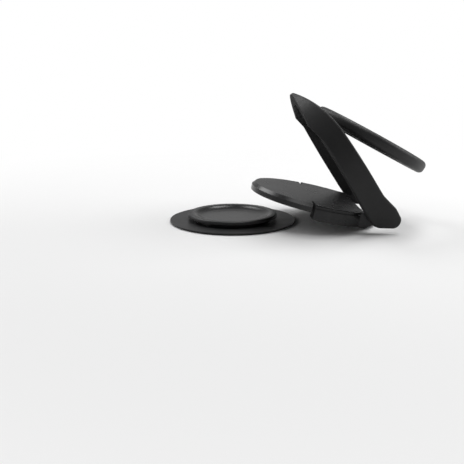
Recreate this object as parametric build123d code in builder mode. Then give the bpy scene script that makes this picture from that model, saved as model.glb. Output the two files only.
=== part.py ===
"""Detachable finger-ring holder: a stick-on dock, a slide-off base, a round frame and a finger ring.

Millimetres, +Z up. The origin is the centre of the dock on the surface that it sticks to, and +X is the
way the holder slides off. The holder stands lifted off its dock, with the frame and the ring part open.
The base, the frame and the ring are drawn in one set of folded coordinates: X and Z are measured from the
centre of the base's top face, and each member's plane carries them to where that member stands.
"""

import os
from math import cos, hypot, radians, sin, sqrt

from build123d import *

# Running fits and gaps
PIN_PLAY = 0.05
JOIN_GAP = 0.1
FOLD_GAP = 0.1
SWING_GAP = 0.3
FRAME_PLAY = 0.4
RING_PLAY = 1.6

# Dock: adhesive pad, flange and mushroom head
FLANGE_RADIUS = 15.1
FLANGE_EDGE = 0.25
PAD_INSET = 0.5
PAD_THICKNESS = 0.3
LIP_RADIUS = 10.8
LIP_OVERHANG = 2.0
LIP_HEIGHT = 0.75
LIP_WIDTH = 1.7
LIP_ROUND = 0.45
HEAD_TOP = 2.1
DISH_DEPTH = 0.85
DISH_WALL = 1.7
DISH_RIM_ROUND = 1.5
DISH_FLOOR_ROUND = 4.0

# Base: cover plate with a lift rim on the left, hinge collar on the right
BASE_RADIUS = 15.4
PLATE_THICKNESS = 1.85
RIM_CHAMFER = 0.7
SPIGOT_PLAY = 2.6
SPIGOT_DEPTH = 0.4
SPLIT_X = -2.1
SPLIT_WIDTH = 0.6
COLLAR_DEPTH = 3.4
COLLAR_BORE_PLAY = 0.4
LEDGE_WIDTH = 0.8
COLLAR_EDGE = 0.25
GROOVE_DROP = 0.55
GROOVE_WIDTH = 0.35
GROOVE_DEPTH = 0.35
HOOK_SPAN = 4.6
HOOK_REACH = 1.4
HOOK_THICKNESS = 0.4

# Hinge between base and frame
HINGE_INSET = 2.04
HINGE_Z = 1.0
EAR_RADIUS = 2.0
EAR_THICKNESS = 1.0
EAR_LENGTH = 5.86
EAR_ROOT_WIDTH = 3.0
BOSS_WALL = 2.45
HINGE_PIN_RADIUS = 0.75
HINGE_PIN_BITE = 1.35
WASHER_THICKNESS = 0.25
WASHER_GAP = 0.05
HINGE_WASHER_RADIUS = 1.6

# Round frame: the nose, the lift lip and the legs are measured back from the tip
FRAME_SHIFT = -0.3
FRAME_WALL = 2.5
LEG_TAPER = 15.0
FRAME_TOP = 2.92
FRAME_ROUND = 0.5
NOSE_LENGTH = 10.7
NOSE_DROP = 3.3
TIP_EDGE = 0.65
LIFT_LIP_LENGTH = 6.83
LIFT_LIP_Z = -2.35
LEG_SETBACK = 9.93
LEG_START_Z = -1.75
LEG_END_Z = -2.38
BRIDGE_LENGTH = 15.6
BRIDGE_BOTTOM = 0.3
BRIDGE_GAP = 0.55

# Knuckle at the end of each leg, measured from the hinge: a ramp up to a crown, a heel and a sole
RAMP_LENGTH = 3.92
RAMP_BLEND = 8.0
CROWN_AHEAD = 0.48
CROWN_RISE = 0.6
CROWN_RADIUS = 2.2
HEEL_AHEAD = 2.53
HEEL_RISE = 0.9
HEEL_RADIUS = 1.8
SOLE_DROP = 0.4
SOLE_RADIUS = 3.0
POCKET_RADIUS = 4.7

# Finger ring and its hinge
RING_WALL = 3.4
RING_THICKNESS = 2.85
RING_BOTTOM = 0.15
RING_WEB = 1.5
RING_OUTER_ROUND = 1.1
RING_INNER_ROUND = 0.8
RING_PIVOT_INSET = 5.43
RING_PIVOT_Z = 1.35
BARREL_RADIUS = 1.0
BARREL_HALF_LENGTH = 3.9
RING_KNUCKLE_LENGTH = 2.4
RING_PIN_RADIUS = 0.5
RING_WASHER_RADIUS = 0.9

# Where the members stand
HOLDER_X = 19.87
HOLDER_Z = 6.585
HOLDER_TILT = 12.2
FRAME_ANGLE = 43.5
RING_ANGLE = 27.5


def leg_y(x, radius):
    """Half width of the frame's straight leg at x, on the line that leaves its round at the taper angle."""
    taper = radians(LEG_TAPER)
    return (radius - (x - FRAME_SHIFT) * sin(taper)) / cos(taper)


# Sizes that follow from the ones above
pad_radius = FLANGE_RADIUS - PAD_INSET
flange_top = PAD_THICKNESS + FLANGE_EDGE
neck_radius = LIP_RADIUS - LIP_OVERHANG
lip_bottom = HEAD_TOP - LIP_HEIGHT
dish_radius = LIP_RADIUS - LIP_WIDTH
spigot_radius = dish_radius - SPIGOT_PLAY
collar_bore = LIP_RADIUS + COLLAR_BORE_PLAY
collar_inner = collar_bore + LEDGE_WIDTH
hook_start_x = collar_bore - HOOK_SPAN
rim_edge_x = SPLIT_X - SPLIT_WIDTH / 2
collar_edge_x = SPLIT_X + SPLIT_WIDTH / 2
hinge_x = BASE_RADIUS - HINGE_INSET
inner_radius = BASE_RADIUS + FRAME_PLAY
frame_radius = inner_radius + FRAME_WALL
boss_inner_y = leg_y(hinge_x, frame_radius) - BOSS_WALL
ear_outer_y = boss_inner_y - WASHER_THICKNESS - 2 * WASHER_GAP
ear_inner_y = ear_outer_y - EAR_THICKNESS
tip_x = FRAME_SHIFT - frame_radius
nose_z = FRAME_TOP - NOSE_DROP
ramp_start_x = hinge_x - RAMP_LENGTH
leg_end_x = hinge_x + HEEL_AHEAD + 2 * HEEL_RADIUS
ring_radius = inner_radius - RING_PLAY
ring_hole = ring_radius - RING_WALL
ring_pivot_x = tip_x + RING_PIVOT_INSET
ring_x = ring_pivot_x + RING_WEB + ring_radius
ring_overhang = ring_x + ring_radius - hinge_x - RING_OUTER_ROUND
ring_rise = RING_BOTTOM + RING_THICKNESS - HINGE_Z - RING_OUTER_ROUND
relief_radius = hypot(ring_overhang, ring_rise) + RING_OUTER_ROUND + SWING_GAP
relief_half_length = sqrt(ring_radius**2 - (hinge_x - ring_x) ** 2) + SWING_GAP
bridge_hole = ring_radius + BRIDGE_GAP
knuckle_start_y = BARREL_HALF_LENGTH + WASHER_THICKNESS + 2 * WASHER_GAP
knuckle_end_y = knuckle_start_y + RING_KNUCKLE_LENGTH
far = 2 * frame_radius


def swung(member, pivot, turn):
    """The member's plane after a turn about a line along Y through pivot, given in the member's own X and Z."""
    seat = member.from_local_coords(Vector(pivot[0], 0, pivot[1]))
    turned = member.rotated((0, turn, 0))
    shift = seat - turned.from_local_coords(Vector(pivot[0], 0, pivot[1]))
    return Plane(turned.origin + shift, x_dir=turned.x_dir, z_dir=turned.z_dir)


def side_of(member, y=0.0):
    """The member's own X-Z plane at the given Y, for side profiles."""
    origin = member.from_local_coords(Vector(0, y, 0))
    return Plane(origin, x_dir=member.x_dir, z_dir=member.y_dir * -1)


def upright(member):
    """The member's own Z axis."""
    return Axis(member.origin, member.z_dir)


def round_edges(shape, radius):
    """The circular edges of one radius on a shape."""
    return shape.edges().filter_by(GeomType.CIRCLE).filter_by(lambda edge: abs(edge.radius - radius) < 1e-4)


def on_outline(edge):
    """True for an edge along the frame's outer wall, except for the sharp ones under its nose and legs."""
    middle = frame_seat.to_local_coords(edge @ 0.5)
    along = frame_seat.to_local_coords(edge @ 1) - frame_seat.to_local_coords(edge @ 0)
    reach = hypot(middle.X - FRAME_SHIFT, middle.Y)
    if middle.X > FRAME_SHIFT + frame_radius * sin(radians(LEG_TAPER)):
        reach = frame_radius + abs(middle.Y) - leg_y(middle.X, frame_radius)
    upright_edge = hypot(along.X, along.Y) < abs(along.Z) / 4
    under = middle.X < ramp_start_x and middle.Z < nose_z - TIP_EDGE / 2
    return abs(reach - frame_radius) < 0.02 and not upright_edge and not under


holder = Plane((HOLDER_X, 0, HOLDER_Z)).rotated((0, HOLDER_TILT, 0))
frame_seat = swung(holder, (hinge_x, HINGE_Z), FRAME_ANGLE)
ring_seat = swung(frame_seat, (ring_pivot_x, RING_PIVOT_Z), -RING_ANGLE)

# Adhesive pad under the dock
with BuildPart() as adhesive_pad:
    with BuildSketch(Plane.XY):
        Circle(pad_radius)
    extrude(amount=PAD_THICKNESS)

# Dock: thin flange, neck and undercut mushroom head with a dished top
with BuildPart() as dock:
    with BuildSketch(Plane.XZ):
        with BuildLine():
            Polyline(
                (0, PAD_THICKNESS),
                (FLANGE_RADIUS, PAD_THICKNESS),
                (FLANGE_RADIUS, flange_top),
                (neck_radius, flange_top),
                (neck_radius, lip_bottom),
                (LIP_RADIUS, lip_bottom),
                (LIP_RADIUS, HEAD_TOP),
                (dish_radius, HEAD_TOP),
                (dish_radius - DISH_WALL, HEAD_TOP - DISH_DEPTH),
                (0, HEAD_TOP - DISH_DEPTH),
                (0, PAD_THICKNESS),
            )
        make_face()
    revolve(axis=Axis.Z)
    fillet(round_edges(dock.part, LIP_RADIUS).sort_by(Axis.Z)[-1], LIP_ROUND)
    fillet(round_edges(dock.part, dish_radius), DISH_RIM_ROUND)
    fillet(round_edges(dock.part, dish_radius - DISH_WALL), DISH_FLOOR_ROUND)

# Cover plate: a round plate whose left half runs out into the lift rim, with a spigot for the dock's dish
with BuildPart() as cover_plate:
    with BuildSketch(holder.offset(-PLATE_THICKNESS)):
        Circle(BASE_RADIUS)
        with Locations((rim_edge_x, 0)):
            Rectangle(far, far, align=(Align.MIN, Align.CENTER), mode=Mode.SUBTRACT)
        Circle(collar_inner - JOIN_GAP)
    extrude(amount=PLATE_THICKNESS)
    top_face = cover_plate.faces().sort_by(upright(holder))[-1]
    chamfer(round_edges(top_face, BASE_RADIUS), RIM_CHAMFER)
    with BuildSketch(holder.offset(-PLATE_THICKNESS)):
        Circle(spigot_radius)
    extrude(amount=-SPIGOT_DEPTH)
    with BuildSketch(side_of(holder)):
        with Locations((hinge_x, HINGE_Z)):
            Circle(relief_radius)
    extrude(amount=relief_half_length, both=True, mode=Mode.SUBTRACT)

# Hinge collar: the right half of the base, with a hook that reaches under the dock's lip and two hinge ears
with BuildPart() as hinge_collar:
    with BuildSketch(holder.offset(-COLLAR_DEPTH)):
        Circle(BASE_RADIUS)
        Circle(collar_bore, mode=Mode.SUBTRACT)
        with Locations((collar_edge_x, 0)):
            Rectangle(far, far, align=(Align.MAX, Align.CENTER), mode=Mode.SUBTRACT)
    extrude(amount=COLLAR_DEPTH)
    with BuildSketch(holder.offset(-PLATE_THICKNESS)):
        Circle(collar_inner)
    extrude(amount=far, mode=Mode.SUBTRACT)
    collar_rim = hinge_collar.faces().sort_by(upright(holder))[-1]
    fillet(round_edges(collar_rim, BASE_RADIUS), COLLAR_EDGE)
    with BuildSketch(holder.offset(-GROOVE_DROP)):
        Circle(BASE_RADIUS + GROOVE_DEPTH)
        Circle(BASE_RADIUS - GROOVE_DEPTH, mode=Mode.SUBTRACT)
    extrude(amount=-GROOVE_WIDTH, mode=Mode.SUBTRACT)
    with BuildSketch(side_of(holder)):
        with Locations((hinge_x, HINGE_Z)):
            Circle(relief_radius)
    extrude(amount=relief_half_length, both=True, mode=Mode.SUBTRACT)
    with BuildSketch(holder.offset(-COLLAR_DEPTH)):
        Circle(collar_bore)
        Circle(collar_bore - HOOK_REACH, mode=Mode.SUBTRACT)
        with Locations((hook_start_x, 0)):
            Rectangle(far, far, align=(Align.MAX, Align.CENTER), mode=Mode.SUBTRACT)
    extrude(amount=HOOK_THICKNESS)
    for side in (-1, 1):
        with BuildSketch(side_of(holder, side * ear_inner_y)):
            with Locations((hinge_x, HINGE_Z)):
                Circle(EAR_RADIUS)
            with Locations((hinge_x - EAR_LENGTH, -COLLAR_DEPTH)):
                Rectangle(EAR_ROOT_WIDTH, COLLAR_DEPTH, align=(Align.MIN, Align.MIN))
            make_hull()
            with Locations((hinge_x, HINGE_Z)):
                Circle(HINGE_PIN_RADIUS + PIN_PLAY, mode=Mode.SUBTRACT)
        extrude(amount=-side * EAR_THICKNESS)
    with BuildSketch(holder.offset(RING_BOTTOM - FOLD_GAP)):
        with Locations((ring_x, 0)):
            Circle(ring_radius + SWING_GAP)
    extrude(amount=far, mode=Mode.SUBTRACT)

# Frame: a round open frame with a thin lifted nose, straight legs and rounded hinge knuckles
with BuildPart() as frame:
    with BuildSketch(frame_seat.offset(-far)):
        with BuildLine():
            turn = radians(LEG_TAPER)
            outer_start = Vector(FRAME_SHIFT + frame_radius * sin(turn), frame_radius * cos(turn))
            outer_end = Vector(leg_end_x, leg_y(leg_end_x, frame_radius))
            inner_start = Vector(FRAME_SHIFT + inner_radius * sin(turn), inner_radius * cos(turn))
            inner_end = Vector(leg_end_x, leg_y(leg_end_x, inner_radius))
            outer_line = Line(outer_start, outer_end)
            end_line = Line(outer_end, inner_end)
            inner_line = Line(inner_end, inner_start)
            ThreePointArc(outer_start, (tip_x, 0), (outer_start.X, -outer_start.Y))
            ThreePointArc(inner_start, (tip_x + FRAME_WALL, 0), (inner_start.X, -inner_start.Y))
            mirror((outer_line, end_line, inner_line), about=Plane.XZ)
        make_face()
    extrude(amount=2 * far)
    with BuildSketch(frame_seat.offset(BRIDGE_BOTTOM)):
        with Locations((FRAME_SHIFT, 0)):
            Circle(inner_radius + JOIN_GAP)
        with Locations((ring_x, 0)):
            Circle(bridge_hole, mode=Mode.SUBTRACT)
        with Locations((tip_x + BRIDGE_LENGTH, 0)):
            Rectangle(far, far, align=(Align.MIN, Align.CENTER), mode=Mode.SUBTRACT)
    extrude(amount=far)
    with BuildSketch(side_of(frame_seat)) as frame_side:
        with Locations((hinge_x + CROWN_AHEAD, HINGE_Z + CROWN_RISE)):
            Circle(CROWN_RADIUS)
        with Locations((hinge_x + HEEL_AHEAD, HINGE_Z + HEEL_RISE)):
            Circle(HEEL_RADIUS)
        with Locations((hinge_x, HINGE_Z - SOLE_DROP)):
            Circle(SOLE_RADIUS)
        with Locations((ramp_start_x, LEG_END_Z)):
            Rectangle(SWING_GAP, FRAME_TOP - LEG_END_Z, align=(Align.MIN, Align.MIN))
        make_hull()
        with BuildLine():
            Polyline(
                (tip_x, nose_z),
                (tip_x, nose_z - TIP_EDGE),
                (tip_x + LIFT_LIP_LENGTH, LIFT_LIP_Z),
                (tip_x + LEG_SETBACK, LEG_START_Z),
                (ramp_start_x, LEG_END_Z),
                (ramp_start_x, FRAME_TOP),
                (tip_x + NOSE_LENGTH, FRAME_TOP),
            )
            TangentArc((tip_x + NOSE_LENGTH, FRAME_TOP), (tip_x, nose_z), tangent=(-1, 0))
        make_face()
        top_corners = frame_side.vertices().filter_by_position(Axis.Y, FRAME_TOP - 0.01, FRAME_TOP + 0.01)
        fillet(top_corners.sort_by(Axis.X)[-1], RAMP_BLEND)
    extrude(amount=far, both=True, mode=Mode.INTERSECT)
    fillet(frame.edges().filter_by(on_outline), FRAME_ROUND)
    with BuildSketch(side_of(frame_seat)):
        with Locations((hinge_x, HINGE_Z)):
            Circle(POCKET_RADIUS)
    extrude(amount=boss_inner_y, both=True, mode=Mode.SUBTRACT)
    for side in (-1, 1):
        with BuildSketch(side_of(frame_seat, side * boss_inner_y)):
            with Locations((hinge_x, HINGE_Z)):
                Circle(HINGE_PIN_RADIUS + PIN_PLAY)
        extrude(amount=-side * HINGE_PIN_BITE, mode=Mode.SUBTRACT)
    with BuildSketch(side_of(frame_seat)):
        with Locations((ring_pivot_x, RING_PIVOT_Z)):
            Circle(BARREL_RADIUS)
    extrude(amount=knuckle_end_y, both=True)
    with BuildSketch(side_of(frame_seat)):
        with Locations((ring_pivot_x, RING_PIVOT_Z)):
            Circle(BARREL_RADIUS + SWING_GAP)
            Rectangle(far, 2 * (BARREL_RADIUS + SWING_GAP), align=(Align.MIN, Align.CENTER))
    extrude(amount=knuckle_start_y, both=True, mode=Mode.SUBTRACT)
    with BuildSketch(side_of(frame_seat)):
        with Locations((ring_pivot_x, RING_PIVOT_Z)):
            Circle(RING_PIN_RADIUS + PIN_PLAY)
    extrude(amount=knuckle_end_y, both=True, mode=Mode.SUBTRACT)

# Finger ring: rounded band with a hinge barrel on a short web
with BuildPart() as finger_ring:
    with BuildSketch(ring_seat.offset(RING_BOTTOM)):
        with Locations((ring_x, 0)):
            Circle(ring_radius)
            Circle(ring_hole, mode=Mode.SUBTRACT)
    extrude(amount=RING_THICKNESS)
    fillet(round_edges(finger_ring.part, ring_radius), RING_OUTER_ROUND)
    fillet(round_edges(finger_ring.part, ring_hole), RING_INNER_ROUND)
    with BuildSketch(side_of(ring_seat)):
        with Locations((ring_pivot_x, RING_PIVOT_Z)):
            Circle(BARREL_RADIUS)
        with Locations((ring_x - ring_radius, RING_BOTTOM + RING_OUTER_ROUND)):
            Rectangle(RING_WALL / 2, RING_THICKNESS - 2 * RING_OUTER_ROUND, align=(Align.MIN, Align.MIN))
        make_hull()
    extrude(amount=BARREL_HALF_LENGTH, both=True)
    with BuildSketch(side_of(ring_seat)):
        with Locations((ring_pivot_x, RING_PIVOT_Z)):
            Circle(RING_PIN_RADIUS + PIN_PLAY)
    extrude(amount=BARREL_HALF_LENGTH, both=True, mode=Mode.SUBTRACT)

# Hinge pins: one through each ear into the frame's boss
with BuildPart() as hinge_pins:
    for side in (-1, 1):
        with BuildSketch(side_of(frame_seat, side * ear_inner_y)):
            with Locations((hinge_x, HINGE_Z)):
                Circle(HINGE_PIN_RADIUS)
        extrude(amount=-side * (boss_inner_y + HINGE_PIN_BITE - ear_inner_y))

# Spring washers that keep the frame where it is put
with BuildPart() as hinge_washers:
    for side in (-1, 1):
        with BuildSketch(side_of(frame_seat, side * (ear_outer_y + WASHER_GAP))):
            with Locations((hinge_x, HINGE_Z)):
                Circle(HINGE_WASHER_RADIUS)
                Circle(HINGE_PIN_RADIUS + PIN_PLAY, mode=Mode.SUBTRACT)
        extrude(amount=-side * WASHER_THICKNESS)

# Spring bar through the ring's barrel and both ring knuckles
with BuildPart() as ring_pin:
    with BuildSketch(side_of(frame_seat)):
        with Locations((ring_pivot_x, RING_PIVOT_Z)):
            Circle(RING_PIN_RADIUS)
    extrude(amount=knuckle_end_y, both=True)

# Spring washers that keep the ring where it is put
with BuildPart() as ring_washers:
    for side in (-1, 1):
        with BuildSketch(side_of(frame_seat, side * (BARREL_HALF_LENGTH + WASHER_GAP))):
            with Locations((ring_pivot_x, RING_PIVOT_Z)):
                Circle(RING_WASHER_RADIUS)
                Circle(RING_PIN_RADIUS + PIN_PLAY, mode=Mode.SUBTRACT)
        extrude(amount=-side * WASHER_THICKNESS)

# One named file for each piece
adhesive_pad.part.label = "adhesive_pad"
dock.part.label = "dock"
cover_plate.part.label = "cover_plate"
hinge_collar.part.label = "hinge_collar"
hinge_pins.part.label = "hinge_pins"
hinge_washers.part.label = "hinge_washers"
frame.part.label = "frame"
ring_pin.part.label = "ring_pin"
ring_washers.part.label = "ring_washers"
finger_ring.part.label = "finger_ring"

os.makedirs("parts", exist_ok=True)
export_step(adhesive_pad.part, "parts/adhesive_pad.step")
export_step(dock.part, "parts/dock.step")
export_step(cover_plate.part, "parts/cover_plate.step")
export_step(hinge_collar.part, "parts/hinge_collar.step")
export_step(hinge_pins.part, "parts/hinge_pins.step")
export_step(hinge_washers.part, "parts/hinge_washers.step")
export_step(frame.part, "parts/frame.step")
export_step(ring_pin.part, "parts/ring_pin.step")
export_step(ring_washers.part, "parts/ring_washers.step")
export_step(finger_ring.part, "parts/finger_ring.step")
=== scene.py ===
# %% [markdown]
# A detachable finger-ring holder, half lifted off the round dock that it hooks onto.
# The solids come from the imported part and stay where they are. This script gives them their finishes,
# a floor, soft light and a camera. Every length is in metres, in the part's own frame.

from math import radians

import bpy
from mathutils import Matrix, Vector

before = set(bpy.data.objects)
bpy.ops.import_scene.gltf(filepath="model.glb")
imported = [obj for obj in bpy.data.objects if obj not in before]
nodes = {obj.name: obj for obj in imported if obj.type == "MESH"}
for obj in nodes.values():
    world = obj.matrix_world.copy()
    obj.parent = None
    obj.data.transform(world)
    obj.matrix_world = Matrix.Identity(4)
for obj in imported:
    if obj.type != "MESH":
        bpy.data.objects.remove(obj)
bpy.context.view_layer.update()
scene = bpy.context.scene


print("solids:", ", ".join(sorted(nodes)))

# %% [markdown]
# The camera stands low in front of the holder and looks slightly down. Its height, pitch and lens were
# worked out from the ellipses of the dock and the ring, so it sits where the picture was taken from
# and needs almost no shift.

# %% Camera
IMAGE_SIDE = 464
FOCAL_PIXELS = 605.0
CENTRE_OFFSET_PIXELS = 0.6
SENSOR_MM = 36.0
CAMERA_PLACE = (0.0, -0.1437, 0.0332)
CAMERA_PITCH = 14.1
CLIP_NEAR = 0.005
CLIP_FAR = 20.0

camera_data = bpy.data.cameras.new("studio_camera")
camera_data.sensor_width = SENSOR_MM
camera_data.lens = FOCAL_PIXELS / IMAGE_SIDE * SENSOR_MM
camera_data.shift_x = -CENTRE_OFFSET_PIXELS / IMAGE_SIDE
camera_data.clip_start = CLIP_NEAR
camera_data.clip_end = CLIP_FAR
camera = bpy.data.objects.new("studio_camera", camera_data)
camera.location = CAMERA_PLACE
camera.rotation_euler = (radians(90.0 - CAMERA_PITCH), 0.0, 0.0)
scene.collection.objects.link(camera)
scene.camera = camera
print("lens:", round(camera_data.lens, 2), "mm")

# %% [markdown]
# A node tree is easier to read when each node takes one line. Two helpers add a node with its settings
# and values, and join two sockets. Two more start a group with its sockets and a material with an empty
# tree. A Mix node has several sockets of one name, so the ones used here get names of their own.

# %% Node helpers
MIX_FACTOR = 0
MIX_NUMBER_A, MIX_NUMBER_B, MIX_NUMBER_OUT = 2, 3, 0
MIX_COLOR_A, MIX_COLOR_B, MIX_COLOR_OUT = 6, 7, 2


def add_node(tree, kind, values=None, **settings):
    """Adds a node, sets its properties, then its input values by socket name or number."""
    node = tree.nodes.new(kind)
    for name, value in settings.items():
        setattr(node, name, value)
    for socket, value in (values or {}).items():
        node.inputs[socket].default_value = value
    return node


def join(tree, source, output, target, socket):
    """Links one output to one input."""
    tree.links.new(source.outputs[output], target.inputs[socket])


def new_group(name, inputs, outputs):
    """Starts a group from rows of socket name, kind and, where it has one, default value."""
    group = bpy.data.node_groups.new(name, "ShaderNodeTree")
    for title, kind, *default in inputs:
        socket = group.interface.new_socket(title, in_out="INPUT", socket_type=kind)
        if default:
            socket.default_value = default[0]
    for title, kind in outputs:
        group.interface.new_socket(title, in_out="OUTPUT", socket_type=kind)
    print("group:", name)
    return group, add_node(group, "NodeGroupInput"), add_node(group, "NodeGroupOutput")


def new_material(name):
    """Starts a material with an empty node tree."""
    material = bpy.data.materials.new(name)
    material.use_nodes = True
    material.node_tree.nodes.clear()
    return material, material.node_tree


# %% [markdown]
# A moulded or coated surface has a fine grain: tiny bumps, with a roughness that wanders a little between
# two limits. All the finishes share it, so it is a group that is built once. Noise at two scales is
# enough, because the grain is too fine to be seen one bump at a time.

# %% Shared effect: fine grain
def make_fine_grain():
    group, inputs, outputs = new_group(
        "fine_grain",
        inputs=(
            ("Vector", "NodeSocketVector"),
            ("Grain Scale", "NodeSocketFloat", 6000.0),
            ("Patch Scale", "NodeSocketFloat", 260.0),
            ("Smooth", "NodeSocketFloat", 0.3),
            ("Rough", "NodeSocketFloat", 0.45),
        ),
        outputs=(("Roughness", "NodeSocketFloat"), ("Height", "NodeSocketFloat")),
    )
    grain = add_node(group, "ShaderNodeTexNoise", {"Detail": 3.0, "Roughness": 0.55})
    patch = add_node(group, "ShaderNodeTexNoise", {"Detail": 4.0, "Roughness": 0.6})
    spread = add_node(group, "ShaderNodeMapRange", {"From Min": 0.3, "From Max": 0.7})
    join(group, inputs, "Vector", grain, "Vector")
    join(group, inputs, "Grain Scale", grain, "Scale")
    join(group, inputs, "Vector", patch, "Vector")
    join(group, inputs, "Patch Scale", patch, "Scale")
    join(group, patch, "Fac", spread, "Value")
    join(group, inputs, "Smooth", spread, "To Min")
    join(group, inputs, "Rough", spread, "To Max")
    join(group, spread, "Result", outputs, "Roughness")
    join(group, grain, "Fac", outputs, "Height")
    return group


fine_grain = make_fine_grain()

# %% [markdown]
# Handling leaves a faint cloudiness on a surface, which all the finishes share too. A soft noise blends
# the clean colour into the touched one, so each finish only gives its two colours.

# %% Shared effect: handling cloud
def make_handling_cloud():
    group, inputs, outputs = new_group(
        "handling_cloud",
        inputs=(
            ("Vector", "NodeSocketVector"),
            ("Scale", "NodeSocketFloat", 140.0),
            ("Clean", "NodeSocketColor"),
            ("Touched", "NodeSocketColor"),
        ),
        outputs=(("Color", "NodeSocketColor"),),
    )
    cloud = add_node(group, "ShaderNodeTexNoise", {"Detail": 5.0, "Roughness": 0.65, "Distortion": 0.4})
    edge = add_node(group, "ShaderNodeMapRange", {"From Min": 0.42, "From Max": 0.72})
    tint = add_node(group, "ShaderNodeMix", data_type="RGBA")
    join(group, inputs, "Vector", cloud, "Vector")
    join(group, inputs, "Scale", cloud, "Scale")
    join(group, cloud, "Fac", edge, "Value")
    join(group, edge, "Result", tint, MIX_FACTOR)
    join(group, inputs, "Clean", tint, MIX_COLOR_A)
    join(group, inputs, "Touched", tint, MIX_COLOR_B)
    join(group, tint, MIX_COLOR_OUT, outputs, "Color")
    return group


handling_cloud = make_handling_cloud()

# %% [markdown]
# Faces that were sawn, or that lie against the surface below, are left dull, while the sides that a hand
# touches are finished. This group compares a face's own direction with a given one and raises the
# roughness where they agree. Polishing only the outside of a real part gives the same.

# %% Shared effect: dull side
SIDE_AGREES = (0.85, 0.95)
FULLY_DULL = 1.0


def make_dull_side():
    group, inputs, outputs = new_group(
        "dull_side",
        inputs=(
            ("Normal", "NodeSocketVector"),
            ("Side", "NodeSocketVector"),
            ("Roughness", "NodeSocketFloat", 0.4),
        ),
        outputs=(("Roughness", "NodeSocketFloat"),),
    )
    likeness = add_node(group, "ShaderNodeVectorMath", operation="DOT_PRODUCT")
    mask = add_node(group, "ShaderNodeMapRange", {"From Min": SIDE_AGREES[0], "From Max": SIDE_AGREES[1]})
    dull = add_node(group, "ShaderNodeMix", {MIX_NUMBER_B: FULLY_DULL}, data_type="FLOAT")
    join(group, inputs, "Normal", likeness, 0)
    join(group, inputs, "Side", likeness, 1)
    join(group, likeness, "Value", mask, "Value")
    join(group, mask, "Result", dull, MIX_FACTOR)
    join(group, inputs, "Roughness", dull, MIX_NUMBER_A)
    join(group, dull, MIX_NUMBER_OUT, outputs, "Roughness")
    return group


dull_side = make_dull_side()

# %% [markdown]
# The dock's dish is the seat that the holder's spigot turns in, so it is burnished, while the flange round
# it keeps the texture of its mould. This group smooths a round spot about the piece's Z axis.

# %% Shared effect: burnished seat
DROP_Z = (1.0, 1.0, 0.0)


def make_burnished_seat():
    group, inputs, outputs = new_group(
        "burnished_seat",
        inputs=(
            ("Vector", "NodeSocketVector"),
            ("Radius", "NodeSocketFloat", 0.0095),
            ("Blend", "NodeSocketFloat", 0.0012),
            ("Polish", "NodeSocketFloat", 0.22),
            ("Roughness", "NodeSocketFloat", 0.4),
        ),
        outputs=(("Roughness", "NodeSocketFloat"),),
    )
    flat = add_node(group, "ShaderNodeVectorMath", {1: DROP_Z}, operation="MULTIPLY")
    reach = add_node(group, "ShaderNodeVectorMath", operation="LENGTH")
    outer = add_node(group, "ShaderNodeMath", operation="ADD")
    mask = add_node(group, "ShaderNodeMapRange")
    seat = add_node(group, "ShaderNodeMix", data_type="FLOAT")
    join(group, inputs, "Vector", flat, 0)
    join(group, flat, "Vector", reach, 0)
    join(group, inputs, "Radius", outer, 0)
    join(group, inputs, "Blend", outer, 1)
    join(group, reach, "Value", mask, "Value")
    join(group, inputs, "Radius", mask, "From Min")
    join(group, outer, 0, mask, "From Max")
    join(group, mask, "Result", seat, MIX_FACTOR)
    join(group, inputs, "Polish", seat, MIX_NUMBER_A)
    join(group, inputs, "Roughness", seat, MIX_NUMBER_B)
    join(group, seat, MIX_NUMBER_OUT, outputs, "Roughness")
    return group


burnished_seat = make_burnished_seat()

# %% [markdown]
# The dock and the base are moulded in black plastic, and the frame and the ring are metal under a satin
# black coating. Both are almost the same black, and what tells them apart is the sheen: the moulding
# mirrors the backdrop softly, and the coating scatters light more. One function lays out both, and also
# the pad's foam, because they differ only in their values.

# %% Black finishes
def black_finish(
    name, clean, touched, smooth, rough, grain_scale, bump_depth, specular, dull=None, seat=None
):
    """A dark surface with cloud, grain and bump, dull on one side or burnished in a seat."""
    material, tree = new_material(name)
    place = add_node(tree, "ShaderNodeTexCoord")
    cloud = add_node(
        tree,
        "ShaderNodeGroup",
        {"Clean": (*clean, 1.0), "Touched": (*touched, 1.0)},
        node_tree=handling_cloud,
    )
    grain = add_node(
        tree,
        "ShaderNodeGroup",
        {"Grain Scale": grain_scale, "Smooth": smooth, "Rough": rough},
        node_tree=fine_grain,
    )
    bump = add_node(tree, "ShaderNodeBump", {"Strength": 0.5, "Distance": bump_depth})
    shader = add_node(tree, "ShaderNodeBsdfPrincipled", {"Specular IOR Level": specular})
    output = add_node(tree, "ShaderNodeOutputMaterial")
    join(tree, place, "Object", cloud, "Vector")
    join(tree, place, "Object", grain, "Vector")
    join(tree, cloud, "Color", shader, "Base Color")
    finish = grain
    if dull:
        finish = add_node(tree, "ShaderNodeGroup", {"Side": dull}, node_tree=dull_side)
        join(tree, place, "Normal", finish, "Normal")
    if seat:
        finish = add_node(tree, "ShaderNodeGroup", {"Radius": seat}, node_tree=burnished_seat)
        join(tree, place, "Object", finish, "Vector")
    if finish != grain:
        join(tree, grain, "Roughness", finish, "Roughness")
    join(tree, finish, "Roughness", shader, "Roughness")
    join(tree, grain, "Height", bump, "Height")
    join(tree, bump, "Normal", shader, "Normal")
    join(tree, shader, "BSDF", output, "Surface")
    print("finish:", name)
    return material


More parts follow.
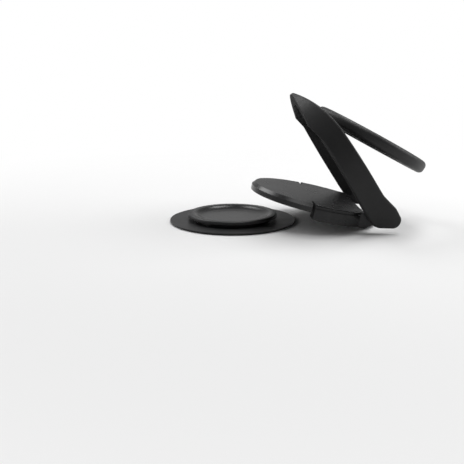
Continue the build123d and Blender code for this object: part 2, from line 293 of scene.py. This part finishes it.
UNDER_FRAME = (-0.866, 0.0, -0.5)
SAWN_END = (-0.98, 0.0, 0.2)
DISH_RADIUS = 0.0092
PLASTIC = dict(clean=(0.009, 0.009, 0.0095), touched=(0.013, 0.013, 0.0135), grain_scale=5200.0)
MOULDED = dict(PLASTIC, smooth=0.24, rough=0.28, bump_depth=0.000001)
TEXTURED = dict(PLASTIC, smooth=0.38, rough=0.46, bump_depth=0.000010)
COATED = dict(
    clean=(0.008, 0.008, 0.0083), touched=(0.011, 0.011, 0.0113),
    smooth=0.46, rough=0.56, grain_scale=8200.0, bump_depth=0.000006,
)
FOAM = dict(
    clean=(0.02, 0.02, 0.021), touched=(0.03, 0.03, 0.031),
    smooth=0.75, rough=0.9, grain_scale=3000.0, bump_depth=0.00006,
)
dock_black = black_finish("dock_black", **TEXTURED, specular=0.4, seat=DISH_RADIUS)
plate_black = black_finish("plate_black", **MOULDED, specular=0.35)
collar_black = black_finish("collar_black", **MOULDED, specular=0.3, dull=SAWN_END)
frame_black = black_finish("frame_black", **COATED, specular=0.3, dull=UNDER_FRAME)
ring_black = black_finish("ring_black", **COATED, specular=0.45)
pad_foam = black_finish("pad_foam", **FOAM, specular=0.3)

# %% [markdown]
# The pins and washers are drawn or stamped steel. Drawing leaves fine lines along the wire, which run
# along the hinge, so the grain is stretched along Y before it reaches the roughness and the bump.

# %% Drawn steel
ALONG_WIRE = (1.0, 0.06, 1.0)
STEEL_GRAIN = {"Grain Scale": 9000.0, "Patch Scale": 2400.0, "Smooth": 0.22, "Rough": 0.4}
STEEL_CLOUD = {"Scale": 700.0, "Clean": (0.46, 0.46, 0.47, 1.0), "Touched": (0.36, 0.355, 0.35, 1.0)}


def steel_finish(name):
    """Bare steel with its grain drawn out along the hinge."""
    material, tree = new_material(name)
    place = add_node(tree, "ShaderNodeTexCoord")
    stretch = add_node(tree, "ShaderNodeMapping", {"Scale": ALONG_WIRE})
    grain = add_node(tree, "ShaderNodeGroup", STEEL_GRAIN, node_tree=fine_grain)
    cloud = add_node(tree, "ShaderNodeGroup", STEEL_CLOUD, node_tree=handling_cloud)
    bump = add_node(tree, "ShaderNodeBump", {"Strength": 0.4, "Distance": 0.00001})
    shader = add_node(tree, "ShaderNodeBsdfPrincipled", {"Metallic": 1.0})
    output = add_node(tree, "ShaderNodeOutputMaterial")
    join(tree, place, "Object", stretch, "Vector")
    join(tree, stretch, "Vector", grain, "Vector")
    join(tree, stretch, "Vector", cloud, "Vector")
    join(tree, cloud, "Color", shader, "Base Color")
    join(tree, grain, "Roughness", shader, "Roughness")
    join(tree, grain, "Height", bump, "Height")
    join(tree, bump, "Normal", shader, "Normal")
    join(tree, shader, "BSDF", output, "Surface")
    print("finish:", name)
    return material


drawn_steel = steel_finish("drawn_steel")

# %% [markdown]
# Each solid already has a slot for its material, as each real piece is made of one stuff. The finishes go
# into those slots, and the solids themselves aren't touched.

# %% Finishes on the solids
FINISH_OF = {
    "adhesive_pad": pad_foam,
    "dock": dock_black,
    "cover_plate": plate_black,
    "hinge_collar": collar_black,
    "frame": frame_black,
    "finger_ring": ring_black,
    "hinge_pins": drawn_steel,
    "hinge_washers": drawn_steel,
    "ring_pin": drawn_steel,
    "ring_washers": drawn_steel,
}
for name, finish in FINISH_OF.items():
    for slot in nodes[name].material_slots:
        slot.material = finish
    print(name, "->", finish.name)

# %% [markdown]
# The holder stands on a plain pale floor with a matt finish, so that the only dark things on it are the
# holder's own contact shadows. A real studio floor curves up into a white wall far behind. Here the paint
# does the same: round the holder it is plain paint, which keeps the shadow, and further out it passes
# softly into white for the camera, mirrors and glass, so that no horizon line cuts through the picture.

# %% Floor
HOLDER_X = 0.015
FLOOR_CENTRE = (HOLDER_X, 0.0, 0.0)
FLOOR_HALF = 3.0
FLOOR_GREY = (0.80, 0.80, 0.80, 1.0)
SHADOW_RADIUS = 0.06
WHITE_RADIUS = 0.17
WHITE = (1.0, 1.0, 1.0, 1.0)

floor_mesh = bpy.data.meshes.new("floor")
corners = [(-1, -1), (1, -1), (1, 1), (-1, 1)]
floor_mesh.from_pydata([(FLOOR_HALF * x, FLOOR_HALF * y, 0.0) for x, y in corners], [], [(0, 1, 2, 3)])
floor = bpy.data.objects.new("floor", floor_mesh)
scene.collection.objects.link(floor)

floor_paint, paint = new_material("floor_paint")
spot = add_node(paint, "ShaderNodeTexCoord")
from_holder = add_node(paint, "ShaderNodeVectorMath", {1: FLOOR_CENTRE}, operation="DISTANCE")
outward = add_node(
    paint,
    "ShaderNodeMapRange",
    {"From Min": SHADOW_RADIUS, "From Max": WHITE_RADIUS},
    interpolation_type="SMOOTHSTEP",
)
looks = add_node(paint, "ShaderNodeLightPath")
direct = add_node(paint, "ShaderNodeMath", operation="MAXIMUM")
clear = add_node(paint, "ShaderNodeMath", operation="MAXIMUM")
away = add_node(paint, "ShaderNodeMath", operation="MULTIPLY")
matt = add_node(paint, "ShaderNodeBsdfDiffuse", {"Color": FLOOR_GREY})
bright = add_node(paint, "ShaderNodeEmission", {"Color": WHITE, "Strength": 1.0})
blend = add_node(paint, "ShaderNodeMixShader")
paint_out = add_node(paint, "ShaderNodeOutputMaterial")
join(paint, spot, "Object", from_holder, 0)
join(paint, from_holder, "Value", outward, "Value")
join(paint, looks, "Is Camera Ray", direct, 0)
join(paint, looks, "Is Glossy Ray", direct, 1)
join(paint, direct, 0, clear, 0)
join(paint, looks, "Is Transmission Ray", clear, 1)
join(paint, outward, "Result", away, 0)
join(paint, clear, 0, away, 1)
join(paint, away, 0, blend, 0)
join(paint, matt, 0, blend, 1)
join(paint, bright, 0, blend, 2)
join(paint, blend, 0, paint_out, "Surface")
floor_mesh.materials.append(floor_paint)
print("floor:", 2 * FLOOR_HALF, "m across, white from", WHITE_RADIUS, "m")

# %% [markdown]
# Black satin shows its shape by what it mirrors. Two soft lamps above and behind lay a crescent each on
# the wall of the dock's dish, one overhead draws a light line along the near edges, and one at each side
# picks out the rounded ends. Each row gives a lamp's name, place, width and watts.

# %% Lamps
LAMP_AIM = (HOLDER_X, 0.0, 0.01)
LAMPS = (
    ("top_lamp", (0.14, 0.16, 0.42), 0.20, 0.80),
    ("over_lamp", (0.02, -0.08, 0.45), 0.24, 0.45),
    ("far_lamp", (-0.16, 0.20, 0.30), 0.16, 0.40),
    ("right_lamp", (0.38, 0.04, 0.21), 0.24, 0.80),
    ("left_lamp", (-0.40, 0.04, 0.20), 0.30, 0.40),
)


def soft_lamp(name, place, aim, width, energy):
    """A square area lamp of the given width that points at aim."""
    data = bpy.data.lights.new(name, "AREA")
    data.size = width
    data.energy = energy
    lamp = bpy.data.objects.new(name, data)
    lamp.location = place
    lamp.rotation_euler = (Vector(aim) - Vector(place)).to_track_quat("-Z", "Y").to_euler()
    lamp.visible_camera = False
    scene.collection.objects.link(lamp)


for name, place, width, energy in LAMPS:
    soft_lamp(name, place, LAMP_AIM, width, energy)
print("lamps:", len(LAMPS))

# %% [markdown]
# The room itself stays dim, so that the walls that face the camera stay dark. The camera sees it as white,
# and mirrors see a share of that white where the backdrop is. The backdrop stands behind the holder, so
# its share rises with a ray's Y and fades as the ray's X turns to the right.

# %% Room light
ROOM_LIGHT = 0.22
BACKDROP_EDGE = (0.55, 0.95)
BACKDROP_SIDE = (0.02, 0.26)
BACKDROP_SHARE = 0.28

world = bpy.data.worlds.new("room")
world.use_nodes = True
scene.world = world
room = world.node_tree
room.nodes.clear()
rays = add_node(room, "ShaderNodeLightPath")
way = add_node(room, "ShaderNodeTexCoord")
split = add_node(room, "ShaderNodeSeparateXYZ")
behind = add_node(
    room,
    "ShaderNodeMapRange",
    {"From Min": BACKDROP_EDGE[0], "From Max": BACKDROP_EDGE[1], "To Max": BACKDROP_SHARE},
)
beside = add_node(
    room,
    "ShaderNodeMapRange",
    {"From Min": BACKDROP_SIDE[0], "From Max": BACKDROP_SIDE[1], "To Min": 1.0, "To Max": 0.0},
)
backdrop = add_node(room, "ShaderNodeMath", operation="MULTIPLY")
mirrored = add_node(room, "ShaderNodeMath", operation="MULTIPLY")
open_view = add_node(room, "ShaderNodeMath", operation="MAXIMUM")
seen = add_node(room, "ShaderNodeMath", operation="MAXIMUM")
lit = add_node(room, "ShaderNodeBackground", {"Color": WHITE, "Strength": ROOM_LIGHT})
white = add_node(room, "ShaderNodeBackground", {"Color": WHITE, "Strength": 1.0})
either = add_node(room, "ShaderNodeMixShader")
room_out = add_node(room, "ShaderNodeOutputWorld")
join(room, way, "Generated", split, 0)
join(room, split, "Y", behind, "Value")
join(room, split, "X", beside, "Value")
join(room, behind, "Result", backdrop, 0)
join(room, beside, "Result", backdrop, 1)
join(room, backdrop, 0, mirrored, 0)
join(room, rays, "Is Glossy Ray", mirrored, 1)
join(room, rays, "Is Camera Ray", open_view, 0)
join(room, rays, "Is Transmission Ray", open_view, 1)
join(room, open_view, 0, seen, 0)
join(room, mirrored, 0, seen, 1)
join(room, seen, 0, either, 0)
join(room, lit, 0, either, 1)
join(room, white, 0, either, 2)
join(room, either, 0, room_out, "Surface")
scene.view_settings.view_transform = "Standard"
print("room light:", ROOM_LIGHT)
